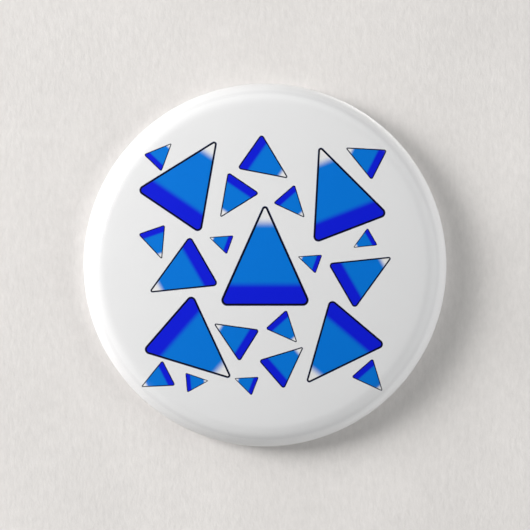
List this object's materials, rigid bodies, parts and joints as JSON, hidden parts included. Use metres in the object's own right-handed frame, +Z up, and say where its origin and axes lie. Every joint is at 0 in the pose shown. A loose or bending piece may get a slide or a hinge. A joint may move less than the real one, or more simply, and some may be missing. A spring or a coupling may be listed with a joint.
{
  "type": "pin-back button badge",
  "caption": "Round domed button badge with a wrapped printed face and a sprung pin held by a hook in its pressed metal back.",
  "frame": {"origin": "centre of the flat back rim, in the rim's plane", "axes": "the badge hangs as it is worn: +Z up, the printed face looks along -Y, the back and its pin look along +Y, +X to the right of someone facing the badge"},
  "size_m": [0.0572, 0.0074, 0.0572],
  "materials": {
    "film": "clear polyester film with a satin gloss",
    "print": "white coated paper printed with scattered blue triangles",
    "shell_tinplate": "pressed tinplate",
    "back_tinplate": "pressed bright tinplate with fine rolling lines",
    "pin_wire": "nickel-plated spring wire"
  },
  "bodies": {
    "badge": {"clear_film": "film", "printed_paper": "print", "front_shell": "shell_tinplate", "back_plate": "back_tinplate", "pin_anchor_leg": "pin_wire", "pin_coil": "pin_wire"},
    "needle": {"pin_needle": "pin_wire"}
  },
  "joints": [
    {"name": "needle_swing", "type": "hinge", "parent": "badge", "child": "needle", "pos_m": [-0.017, -0.00083, 0.004], "axis": [0, -0.9659, 0.2588], "range_deg": [0, 45], "deforming": ["pin_coil"]}
  ]
}
